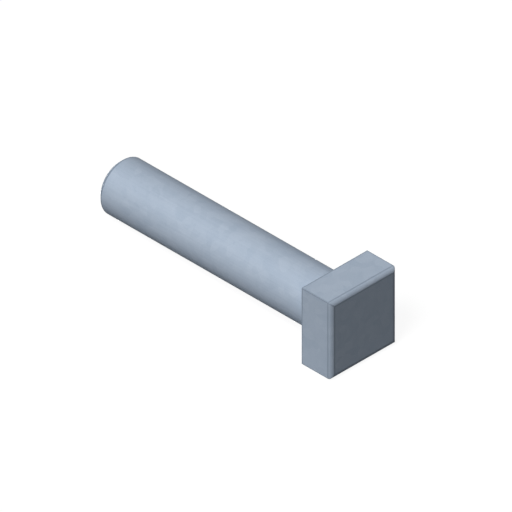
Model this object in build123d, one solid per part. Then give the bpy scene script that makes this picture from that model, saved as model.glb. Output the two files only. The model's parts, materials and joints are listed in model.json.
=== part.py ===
from build123d import *

import os
from math import atan2, degrees

# Square head bolt of the 5/8 inch size, 3 inches long, forged in one piece with
# a plain shank. It lies as it comes to rest on a flat surface: on the lower edge
# of the head's bearing face and on the lower rim of the point, so that its axis
# dips a little towards the point. The origin is the centre of the bearing face,
# with the head towards +X and the shank towards -X. Lengths are in millimetres.

# Head
width_across_flats = 23.3
head_height = 10.5
end_face_round = 1.2  # on the four edges of the outer end face

# Shank
body_diameter = 16.1
length_under_head = 76.2
point_chamfer = 1.3  # at 45 degrees, along the axis and across it
neck_fillet = 0.8  # where the shank runs out into the bearing face

body_radius = body_diameter / 2
body_end = length_under_head - point_chamfer  # where the point's chamfer starts


def make_head():
    # A square block, sharp along its corners. The rounds of its outer end face
    # meet in a mitre at each corner.
    with BuildPart() as head:
        with BuildSketch(Plane.YZ):
            Rectangle(width_across_flats, width_across_flats)
        extrude(amount=head_height)
        end_face = head.faces().sort_by(Axis.X)[-1]
        fillet(end_face.edges(), radius=end_face_round)
    return head.part


def make_shank():
    # Half of the shank's lengthwise section, turned about the axis: the fillet at
    # the neck, the body, the chamfer and the flat end of the point.
    with BuildPart() as shank:
        with BuildSketch(Plane.XZ):
            with BuildLine():
                neck = CenterArc(
                    center=(-neck_fillet, body_radius + neck_fillet),
                    radius=neck_fillet,
                    start_angle=-90,
                    arc_size=90,
                )
                Polyline(
                    neck @ 1,
                    (0, 0),
                    (-length_under_head, 0),
                    (-length_under_head, body_radius - point_chamfer),
                    (-body_end, body_radius),
                    neck @ 0,
                )
            make_face()
        revolve(axis=Axis.X)
    return shank.part


def rest_angle():
    # The head stands out further from the axis than the body does. The line from
    # its lower bearing edge to the rim of the point is level at this dip.
    head_overhang = width_across_flats / 2 - body_radius
    return degrees(atan2(head_overhang, body_end))


bolt = Rot(Y=-rest_angle()) * (make_head() + make_shank())
bolt.label = "square_head_bolt"
bolt.color = Color(0.45, 0.54, 0.65)

os.makedirs("parts", exist_ok=True)
export_step(bolt, "parts/square_head_bolt.step")

print(f"rest angle {rest_angle():.4f} degrees, lowest point {bolt.bounding_box().min.Z:.4f} mm")
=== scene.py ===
import json
from math import cos, degrees, pi, radians, sin

import bpy
from mathutils import Matrix, Vector


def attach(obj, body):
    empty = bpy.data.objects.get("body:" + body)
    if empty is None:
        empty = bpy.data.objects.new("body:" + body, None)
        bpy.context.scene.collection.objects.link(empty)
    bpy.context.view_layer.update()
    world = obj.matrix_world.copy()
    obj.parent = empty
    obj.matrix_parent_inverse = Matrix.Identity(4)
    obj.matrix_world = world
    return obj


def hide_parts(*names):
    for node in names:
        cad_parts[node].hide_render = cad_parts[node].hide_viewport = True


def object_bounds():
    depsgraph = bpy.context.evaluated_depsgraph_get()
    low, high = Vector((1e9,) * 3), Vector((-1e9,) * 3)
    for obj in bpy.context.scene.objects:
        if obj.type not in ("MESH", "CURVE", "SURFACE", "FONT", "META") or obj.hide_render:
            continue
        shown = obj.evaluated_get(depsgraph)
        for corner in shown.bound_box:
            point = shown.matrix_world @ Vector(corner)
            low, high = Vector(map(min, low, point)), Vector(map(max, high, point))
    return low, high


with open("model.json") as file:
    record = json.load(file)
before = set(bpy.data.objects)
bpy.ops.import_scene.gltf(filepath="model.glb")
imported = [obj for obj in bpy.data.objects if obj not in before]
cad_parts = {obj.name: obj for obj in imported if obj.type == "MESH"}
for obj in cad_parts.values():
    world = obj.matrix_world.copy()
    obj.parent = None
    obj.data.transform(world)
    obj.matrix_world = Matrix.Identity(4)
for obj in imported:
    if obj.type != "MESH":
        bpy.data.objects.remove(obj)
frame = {"nodes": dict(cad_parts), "record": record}
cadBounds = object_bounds()
print("Frame loaded:", ", ".join(frame["nodes"]))

millimetres = 1000       # in a metre; shapes are measured in metres, patterns in millimetres


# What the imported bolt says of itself

def readBolt(nodeName):
    mounts = {mount["name"]: mount for mount in frame["record"]["mounts"]}
    headward = -Vector(mounts["shank"]["axis"]).normalized()      # along the bolt, towards its head
    along = [vertex.co.dot(headward) for vertex in frame["nodes"][nodeName].data.vertices]
    return {
        "node": nodeName,
        "dip": headward.angle(Vector((1, 0, 0))),                   # how far the axis is off level
        "headWidth": 2 * mounts["wrench_flat_left"]["pos_m"][1],
        "headHeight": max(along),
        "shankLength": -min(along),
        "shankRadius": mounts["shank"]["dims"]["r_mm"] / millimetres,
    }


bolt = readBolt("square_head_bolt")
level = Matrix.Rotation(-bolt["dip"], 3, "Y")      # turns the bolt's own axes to how it lies
print("Bolt dips by %.2f degrees," % degrees(bolt["dip"]),
      "shank %.1f mm long" % (bolt["shankLength"] * millimetres))


# Small helpers for modelling

def pickEdges(piece, wanted):
    # selects the edges whose two ends both pass the test
    bpy.ops.object.mode_set(mode="OBJECT")
    mesh = piece.data
    for polygon in mesh.polygons:
        polygon.select = False
    for vertex in mesh.vertices:
        vertex.select = False
    for edge in mesh.edges:
        edge.select = all(wanted(mesh.vertices[index].co) for index in edge.vertices)
    bpy.ops.object.mode_set(mode="EDIT")
    bpy.ops.mesh.select_mode(type="EDGE")


def growOutline(profile):
    # carries the selected outline along a profile of (x, reach from the axis), then closes its end
    x, reach = profile[0]
    for nextX, nextReach in profile[1:]:
        bpy.ops.mesh.extrude_edges_move(TRANSFORM_OT_translate={"value": (nextX - x, 0, 0)})
        ratio = nextReach / reach
        bpy.ops.transform.resize(value=(1, ratio, ratio), center_override=(nextX, 0, 0))
        x, reach = nextX, nextReach
    bpy.ops.mesh.edge_face_add()


def quarterTurn(steps):
    # sine and cosine at each step of a quarter turn, its start left out
    turns = [pi / 2 * step / steps for step in range(1, steps + 1)]
    return [(sin(turn), cos(turn)) for turn in turns]


# The bolt, one forging

forging = {
    # lengths in metres
    "endFaceRound": 0.0012,      # the four edges of the head's outer face
    "neckFillet": 0.0008,        # shank to bearing face
    "pointChamfer": 0.0013,      # at 45 degrees
    "edgeSoftness": 0.00008,     # what the sharp edges are rounded to
    # faces across a round, across a softened edge, and around the shank
    "roundSteps": 10,
    "softSteps": 3,
    "stepsAround": 128,
}


def headProfile():
    # from the bearing face's edge to the outer face
    half, soft, bend = bolt["headWidth"] / 2, forging["edgeSoftness"], forging["endFaceRound"]
    profile = [(0, half - soft)]
    for rise, run in quarterTurn(forging["softSteps"]):
        profile.append((soft - soft * run, half - soft + soft * rise))
    profile.append((bolt["headHeight"] - bend, half))
    for rise, run in quarterTurn(forging["roundSteps"]):
        profile.append((bolt["headHeight"] - bend + bend * rise, half - bend + bend * run))
    return profile


def shankProfile():
    # from the bearing face along the neck fillet and the shank to the end of the point
    radius, length, fillet = bolt["shankRadius"], bolt["shankLength"], forging["neckFillet"]
    chamfer, soft = forging["pointChamfer"], forging["edgeSoftness"]
    slant = soft * cos(pi / 4)
    profile = [(0, radius + fillet)]
    for rise, run in quarterTurn(forging["roundSteps"]):
        profile.append((fillet * run - fillet, radius + fillet - fillet * rise))
    return profile + [
        (chamfer + soft - length, radius),
        (chamfer - slant - length, radius - slant),
        (slant - length, radius - chamfer + slant),
        (-length, radius - chamfer - soft),
    ]


def modelBolt():
    outline, ring = headProfile(), shankProfile()
    halfSide, ringRadius = outline[0][1], ring[0][1]
    around, corner = forging["stepsAround"], forging["softSteps"]

    # the bearing face: a square with softened corners, whose sides are then cut
    # until it has as many edges as the ring at the neck that it is bridged to
    bpy.ops.object.select_all(action="DESELECT")
    bpy.ops.mesh.primitive_plane_add(size=2 * halfSide, rotation=(0, pi / 2, 0))
    piece = bpy.context.object
    piece.name = "squareHeadBolt"
    bpy.ops.object.transform_apply(location=False, rotation=True, scale=False)
    bpy.ops.object.mode_set(mode="EDIT")
    bpy.ops.mesh.select_all(action="SELECT")
    bpy.ops.mesh.bevel(offset=forging["edgeSoftness"], segments=corner, affect="VERTICES")
    bpy.ops.mesh.select_all(action="SELECT")
    bpy.ops.mesh.delete(type="ONLY_FACE")
    bpy.ops.object.mode_set(mode="OBJECT")
    for edge in piece.data.edges:
        ends = [piece.data.vertices[index].co for index in edge.vertices]
        edge.select = (ends[0] - ends[1]).length > halfSide
    bpy.ops.object.mode_set(mode="EDIT")
    bpy.ops.mesh.subdivide(number_cuts=around // 4 - corner - 1)
    bpy.ops.mesh.primitive_circle_add(vertices=around, radius=ringRadius, rotation=(0, pi / 2, 0))
    bpy.ops.mesh.select_all(action="SELECT")
    bpy.ops.mesh.bridge_edge_loops()

    # the head one way and the shank the other
    between = (ringRadius + halfSide) / 2
    hair = 1e-7      # metres, less than any edge is long
    pickEdges(piece, lambda co: co.length > between)
    growOutline(outline)
    pickEdges(piece, lambda co: abs(co.x) < hair and co.length < between)
    growOutline(ring)

    # laid down as it rests, with faces outwards
    bpy.ops.mesh.select_all(action="SELECT")
    bpy.ops.mesh.normals_make_consistent(inside=False)
    bpy.ops.transform.rotate(value=bolt["dip"], orient_axis="Y", center_override=(0, 0, 0))
    bpy.ops.object.mode_set(mode="OBJECT")

    # smooth over the rounds, with the flats kept flat
    bpy.ops.object.shade_smooth()
    flats = piece.modifiers.new("flats", "WEIGHTED_NORMAL")
    bpy.ops.object.modifier_apply(modifier=flats.name)
    print("Bolt modelled:", len(piece.data.polygons), "faces")
    return piece


# Dull zinc

zinc = {
    "paler": (0.506, 0.586, 0.696),
    "darker": (0.406, 0.49, 0.604),
    "metal": 0.06,
    "shine": 0.01,
    "shineColour": (0.5, 0.65, 0.9),
    "roughness": (0.48, 0.68),
    # patterns: sizes and depths in millimetres, and how far each moves the tone
    "cloudSize": 5.0,
    "cloudDepth": 0.03,
    "cloudTone": 0.6,
    "spangleSize": 2.2,          # the faint crystals of the coat
    "spangleTone": 0.4,
    "grainSize": 0.35,
    "grainDepth": 0.014,
    "grainTone": 0.7,
    "grainDetail": 3,
    "drawnWidth": 0.5,           # lines that the drawing die left along the shank
    "drawnLength": 14.0,
    "drawnDepth": 0.004,
    "drawnTone": 0.8,
    "drawnFade": 1.0,            # how far before the head they die out
    "turnedPitch": 0.4,          # rings that the cutter left on the end of the point
    "turnedDepth": 0.006,
    "turnedFade": 0.1,
    "detail": 2,                 # of the clouds and the drawn lines
    # thin coat along the edges: how far from the edge it reaches, and how much it shows
    "cornerLine": (0.45, 0.65),  # the head's long corners and the mitres of its round
    "bearingLine": (0.5, 0.8),   # the four sides of the bearing face
    "pointLine": (0.5, 0.95),    # both edges of the point's chamfer
    "roundLine": (0.35, 0.6),    # where the head's round begins and ends
    "lineCore": 0.25,            # share of a line's reach that shows in full
    "lineColour": (0.245, 0.305, 0.385),
}


def calculate(tree, operation, *values):
    # a Math node; each value is a number or another node's output
    node = tree.nodes.new("ShaderNodeMath")
    node.operation = operation
    for socket, value in zip(node.inputs, values):
        if isinstance(value, (int, float)):
            socket.default_value = value
        else:
            tree.links.new(value, socket)
    return node.outputs[0]


def largest(tree, values):
    result = values[0]
    for value in values[1:]:
        result = calculate(tree, "MAXIMUM", result, value)
    return result


def fade(tree, value, atStart, atEnd, start, end):
    # runs from one value to another, and keeps to them outside
    node = tree.nodes.new("ShaderNodeMapRange")
    node.interpolation_type = "SMOOTHSTEP"
    tree.links.new(value, node.inputs["Value"])
    node.inputs["From Min"].default_value = atStart
    node.inputs["From Max"].default_value = atEnd
    node.inputs["To Min"].default_value = start
    node.inputs["To Max"].default_value = end
    return node.outputs["Result"]


def mixColours(tree, amount, first, second):
    # a Mix node, whose inputs 6 and 7 and output 2 are those for colours
    node = tree.nodes.new("ShaderNodeMix")
    node.data_type = "RGBA"
    tree.links.new(amount, node.inputs[0])
    for socket, colour in ((node.inputs[6], first), (node.inputs[7], second)):
        if isinstance(colour, tuple):
            socket.default_value = (*colour, 1)
        else:
            tree.links.new(colour, socket)
    return node.outputs[2]


def noise(tree, place, size, detail):
    node = tree.nodes.new("ShaderNodeTexNoise")
    tree.links.new(place, node.inputs["Vector"])
    node.inputs["Scale"].default_value = 1 / size
    node.inputs["Detail"].default_value = detail
    return node.outputs["Fac"]


def stretched(tree, place, scale):
    node = tree.nodes.new("ShaderNodeMapping")
    tree.links.new(place, node.inputs["Vector"])
    node.inputs["Scale"].default_value = scale
    return node.outputs["Vector"]


def boltPlace(tree):
    # millimetres along the bolt's own axes
    coordinates = tree.nodes.new("ShaderNodeTexCoord")
    turn = tree.nodes.new("ShaderNodeMapping")
    turn.inputs["Rotation"].default_value = (0, bolt["dip"], 0)
    turn.inputs["Scale"].default_value = [millimetres] * 3
    tree.links.new(coordinates.outputs["Object"], turn.inputs["Vector"])
    return turn.outputs["Vector"]


def edgeLines(tree, along, wide, narrow, radius):
    # how much of the line colour shows, from the distance to each edge
    half, height = bolt["headWidth"] / 2 * millimetres, bolt["headHeight"] * millimetres
    length, shank = bolt["shankLength"] * millimetres, bolt["shankRadius"] * millimetres
    chamfer, bend = forging["pointChamfer"] * millimetres, forging["endFaceRound"] * millimetres

    def awayFrom(value, place):
        return calculate(tree, "ABSOLUTE", calculate(tree, "SUBTRACT", value, place))

    def line(name, first, second=None):
        away = first if second is None else calculate(tree, "MAXIMUM", first, second)
        reach, strength = zinc[name]
        return fade(tree, away, zinc["lineCore"] * reach, reach, strength, 0)

    # how far out the head's long corners stand, also where the round draws them in as mitres
    rise = calculate(tree, "MAXIMUM", calculate(tree, "SUBTRACT", along, height - bend), 0)
    run = calculate(tree, "SQRT", calculate(tree, "SUBTRACT", bend ** 2, calculate(tree, "POWER", rise, 2)))
    corner = calculate(tree, "ADD", run, half - bend)

    return largest(tree, [
        line("cornerLine", awayFrom(narrow, corner)),
        line("bearingLine", awayFrom(along, 0), awayFrom(wide, half)),
        line("pointLine", awayFrom(along, chamfer - length)),
        line("pointLine", awayFrom(along, -length), awayFrom(radius, shank - chamfer)),
        line("roundLine", awayFrom(along, height - bend), awayFrom(wide, half)),
        line("roundLine", awayFrom(along, height), awayFrom(wide, half - bend)),
    ])


def makeZinc():
    material = bpy.data.materials.new("dullZinc")
    material.use_nodes = True
    tree = material.node_tree
    shader = tree.nodes["Principled BSDF"]

    # how far along the bolt, and how far from its axis: the larger and the smaller of the two
    # ways across, and straight out
    place = boltPlace(tree)
    split = tree.nodes.new("ShaderNodeSeparateXYZ")
    tree.links.new(place, split.inputs[0])
    along = split.outputs["X"]
    aside = calculate(tree, "ABSOLUTE", split.outputs["Y"])
    above = calculate(tree, "ABSOLUTE", split.outputs["Z"])
    wide = calculate(tree, "MAXIMUM", aside, above)
    narrow = calculate(tree, "MINIMUM", aside, above)
    squares = [calculate(tree, "POWER", distance, 2) for distance in (aside, above)]
    radius = calculate(tree, "SQRT", calculate(tree, "ADD", *squares))

    # patterns, each between 0 and 1 and one half on average
    clouds = noise(tree, place, zinc["cloudSize"], zinc["detail"])
    grain = noise(tree, place, zinc["grainSize"], zinc["grainDetail"])
    lengthwise = stretched(tree, place, (zinc["drawnWidth"] / zinc["drawnLength"], 1, 1))
    drawn = noise(tree, lengthwise, zinc["drawnWidth"], zinc["detail"])
    crystals = tree.nodes.new("ShaderNodeTexVoronoi")
    tree.links.new(place, crystals.inputs["Vector"])
    crystals.inputs["Scale"].default_value = 1 / zinc["spangleSize"]
    spangle = tree.nodes.new("ShaderNodeSeparateColor")
    tree.links.new(crystals.outputs["Color"], spangle.inputs[0])
    average = 0.5

    # colour and roughness
    onShank = fade(tree, along, -zinc["drawnFade"], 0, 1, 0)
    streaks = calculate(tree, "MULTIPLY", calculate(tree, "SUBTRACT", drawn, average), onShank)
    tone = calculate(tree, "MULTIPLY_ADD", streaks, zinc["drawnTone"], average)
    toned = ((clouds, "cloudTone"), (spangle.outputs[0], "spangleTone"), (grain, "grainTone"))
    for pattern, strength in toned:
        swing = calculate(tree, "SUBTRACT", pattern, average)
        tone = calculate(tree, "MULTIPLY_ADD", swing, zinc[strength], tone)
    coat = mixColours(tree, tone, zinc["darker"], zinc["paler"])
    edges = edgeLines(tree, along, wide, narrow, radius)
    tree.links.new(mixColours(tree, edges, coat, zinc["lineColour"]), shader.inputs["Base Color"])
    tree.links.new(fade(tree, tone, 0, 1, *zinc["roughness"]), shader.inputs["Roughness"])
    shader.inputs["Metallic"].default_value = zinc["metal"]
    shader.inputs["Specular IOR Level"].default_value = zinc["shine"]
    shader.inputs["Specular Tint"].default_value = (*zinc["shineColour"], 1)

    # relief, in millimetres; a sine swings half the rings' depth each way
    pointEnd = -bolt["shankLength"] * millimetres
    onPoint = fade(tree, along, pointEnd, pointEnd + zinc["turnedFade"], 1, 0)
    wave = calculate(tree, "SINE", calculate(tree, "MULTIPLY", radius, 2 * pi / zinc["turnedPitch"]))
    rings = calculate(tree, "MULTIPLY", wave, onPoint)
    relief = calculate(tree, "MULTIPLY", clouds, zinc["cloudDepth"])
    relief = calculate(tree, "MULTIPLY_ADD", grain, zinc["grainDepth"], relief)
    relief = calculate(tree, "MULTIPLY_ADD", streaks, zinc["drawnDepth"], relief)
    relief = calculate(tree, "MULTIPLY_ADD", rings, zinc["turnedDepth"] / 2, relief)
    bump = tree.nodes.new("ShaderNodeBump")
    bump.inputs["Distance"].default_value = 1 / millimetres
    tree.links.new(relief, bump.inputs["Height"])
    tree.links.new(bump.outputs["Normal"], shader.inputs["Normal"])
    print("Zinc coat mixed:", len(tree.nodes), "nodes")
    return material


piece = modelBolt()
piece.data.materials.append(makeZinc())
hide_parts(bolt["node"])
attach(piece, "root")


# Floor, light and camera

studio = {
    "floorSize": 4,
    "floorGlow": 0.93,           # what the camera sees of the floor before any light falls on it
    "floorColour": 0.12,
    "lampAngle": 20,
    "ambient": 0.02,
    # where each lamp shines from, in the bolt's own axes, and its strength
    "keyFrom": (0.123, -0.404, 0.599),
    "keyStrength": 2.3,
    "sheenFrom": (-0.58, -0.58, 0.57),
    "sheenStrength": 0.6,
    "backFrom": (-0.7, 0.505, -0.505),
    "backStrength": 1.5,
}


def seenDirectly(tree):
    # 1 for rays that show the background itself: camera, glossy and transmission
    paths = tree.nodes.new("ShaderNodeLightPath").outputs
    mirrored = calculate(tree, "MAXIMUM", paths["Is Glossy Ray"], paths["Is Transmission Ray"])
    return calculate(tree, "MAXIMUM", paths["Is Camera Ray"], mirrored)


def layFloor():
    bpy.ops.object.select_all(action="DESELECT")
    bpy.ops.mesh.primitive_plane_add(size=studio["floorSize"], location=(0, 0, cadBounds[0].z))
    floor = bpy.context.object
    floor.name = "floor"
    material = bpy.data.materials.new("paleFloor")
    material.use_nodes = True
    tree = material.node_tree
    tree.nodes.clear()
    output = tree.nodes.new("ShaderNodeOutputMaterial")
    matte = tree.nodes.new("ShaderNodeBsdfDiffuse")
    matte.inputs["Color"].default_value = (*[studio["floorColour"]] * 3, 1)
    glow = tree.nodes.new("ShaderNodeEmission")
    shown = calculate(tree, "MULTIPLY", seenDirectly(tree), studio["floorGlow"])
    tree.links.new(shown, glow.inputs["Strength"])
    both = tree.nodes.new("ShaderNodeAddShader")
    tree.links.new(matte.outputs[0], both.inputs[0])
    tree.links.new(glow.outputs[0], both.inputs[1])
    tree.links.new(both.outputs[0], output.inputs["Surface"])
    floor.data.materials.append(material)
    floor.visible_shadow = False      # lets the back lamp through, which shines from below


def lightStudio():
    for name in ("key", "sheen", "back"):
        sun = bpy.data.lights.new(name + "Lamp", "SUN")
        sun.energy = studio[name + "Strength"]
        sun.angle = radians(studio["lampAngle"])
        lamp = bpy.data.objects.new(name + "Lamp", sun)
        bpy.context.scene.collection.objects.link(lamp)
        source = level @ Vector(studio[name + "From"])
        lamp.rotation_euler = source.to_track_quat("Z", "Y").to_euler()

    # white where it is seen, and a faint light of its own
    world = bpy.data.worlds.new("studio")
    bpy.context.scene.world = world
    world.use_nodes = True
    tree = world.node_tree
    background = tree.nodes["Background"]
    background.inputs["Color"].default_value = (1, 1, 1, 1)
    strength = tree.nodes.new("ShaderNodeMapRange")
    strength.inputs["To Min"].default_value = studio["ambient"]
    strength.inputs["To Max"].default_value = 1
    tree.links.new(seenDirectly(tree), strength.inputs["Value"])
    tree.links.new(strength.outputs["Result"], background.inputs["Strength"])


view = {
    "azimuth": 45,
    "elevation": 35,
    "pixels": 512,
    "pixelsPerMetre": 3986,
    "originPixel": (334.4, 307.0),       # where the centre of the bearing face is seen
    "distance": 0.5,                     # any will do, as this camera has no perspective
}


def placeCamera():
    azimuth, elevation = radians(view["azimuth"]), radians(view["elevation"])
    back = level @ Vector((sin(azimuth) * cos(elevation), -cos(azimuth) * cos(elevation), sin(elevation)))
    right = level @ Vector((cos(azimuth), sin(azimuth), 0))
    up = back.cross(right)
    middle = view["pixels"] / 2
    aside, above = [(pixel - middle) / view["pixelsPerMetre"] for pixel in view["originPixel"]]
    place = back * view["distance"] - right * aside + up * above
    data = bpy.data.cameras.new("camera")
    data.type = "ORTHO"
    data.ortho_scale = view["pixels"] / view["pixelsPerMetre"]
    camera = bpy.data.objects.new("camera", data)
    bpy.context.scene.collection.objects.link(camera)
    camera.matrix_world = Matrix.Translation(place) @ Matrix((right, up, back)).transposed().to_4x4()
    bpy.context.scene.camera = camera


layFloor()
lightStudio()
placeCamera()
bpy.context.scene.view_settings.view_transform = "Standard"
print("Studio ready")
